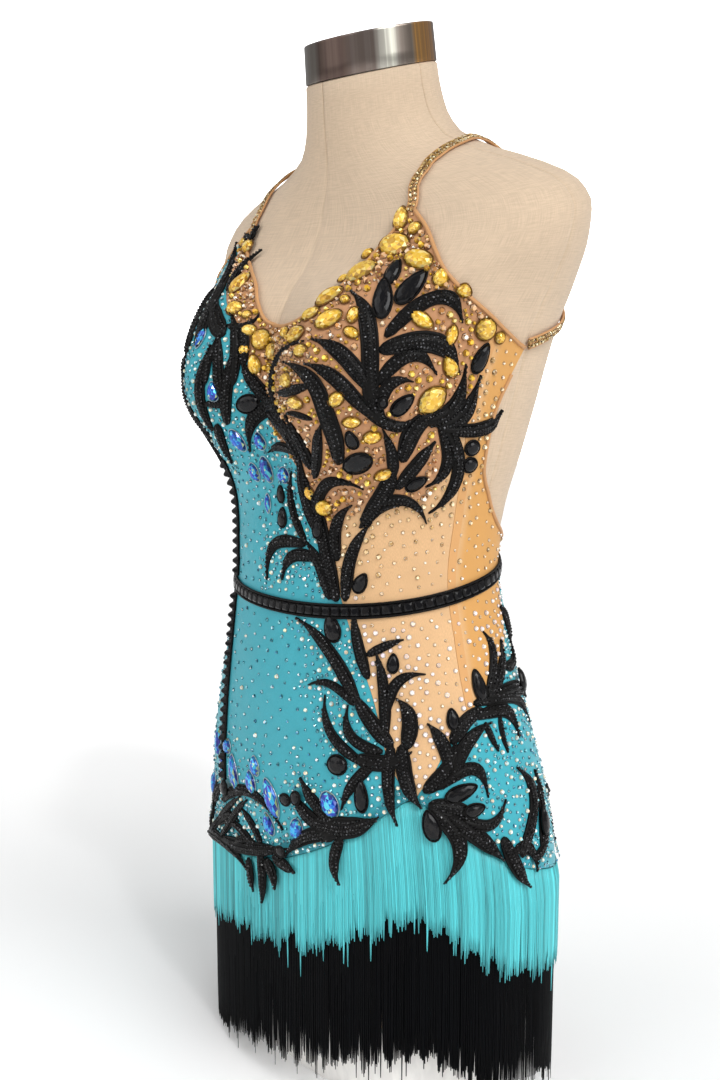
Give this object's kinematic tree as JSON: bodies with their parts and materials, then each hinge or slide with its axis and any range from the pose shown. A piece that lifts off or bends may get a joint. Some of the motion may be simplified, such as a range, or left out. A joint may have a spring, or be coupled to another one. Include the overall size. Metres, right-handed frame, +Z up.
{
  "type": "salsa dance dress on a dress form",
  "caption": "Sleeveless Latin dance dress with an open back, leaf applique and a two-layer fringed hem, worn on a limbless dress form.",
  "frame": {"origin": "middle of the dress form's flat underside, on the surface that it stands on", "axes": "+Z up; the front of the dress faces -Y; +X is the wearer's left"},
  "size_m": [0.3818, 0.2739, 0.8798],
  "materials": {
    "form_linen": "cream linen stretched over the form",
    "cap_steel": "brushed steel neck cap",
    "turquoise_lycra": "smooth stretch lycra with a soft sheen",
    "nude_mesh": "skin-toned stretch mesh, stoned",
    "strap_elastic": "skin-toned elastic with rows of stones",
    "black_applique": "padded black leaves edged with beads",
    "black_trim": "black band with rows of stones",
    "turquoise_fringe": "chainette fringe",
    "black_fringe": "chainette fringe"
  },
  "bodies": {
    "root": {"dress_form_torso": "form_linen", "dress_form_neck_cap": "cap_steel", "bodice_front_gold": "nude_mesh", "bodice_front_turquoise": "turquoise_lycra", "bodice_back_left": "nude_mesh", "bodice_back_right": "turquoise_lycra", "skirt_front_turquoise": "turquoise_lycra", "skirt_front_nude": "nude_mesh", "skirt_side_nude": "nude_mesh", "skirt_back_left": "turquoise_lycra", "skirt_back_right": "turquoise_lycra", "strap_left": "strap_elastic", "strap_right": "strap_elastic", "belt": "black_trim", "trim_band_bodice": "black_trim", "trim_band_skirt": "black_trim", "applique_bodice": "black_applique", "applique_skirt": "black_applique", "applique_hem": "black_applique", "applique_back": "black_applique", "fringe_turquoise": "turquoise_fringe", "fringe_black": "black_fringe"}
  },
  "joints": []
}
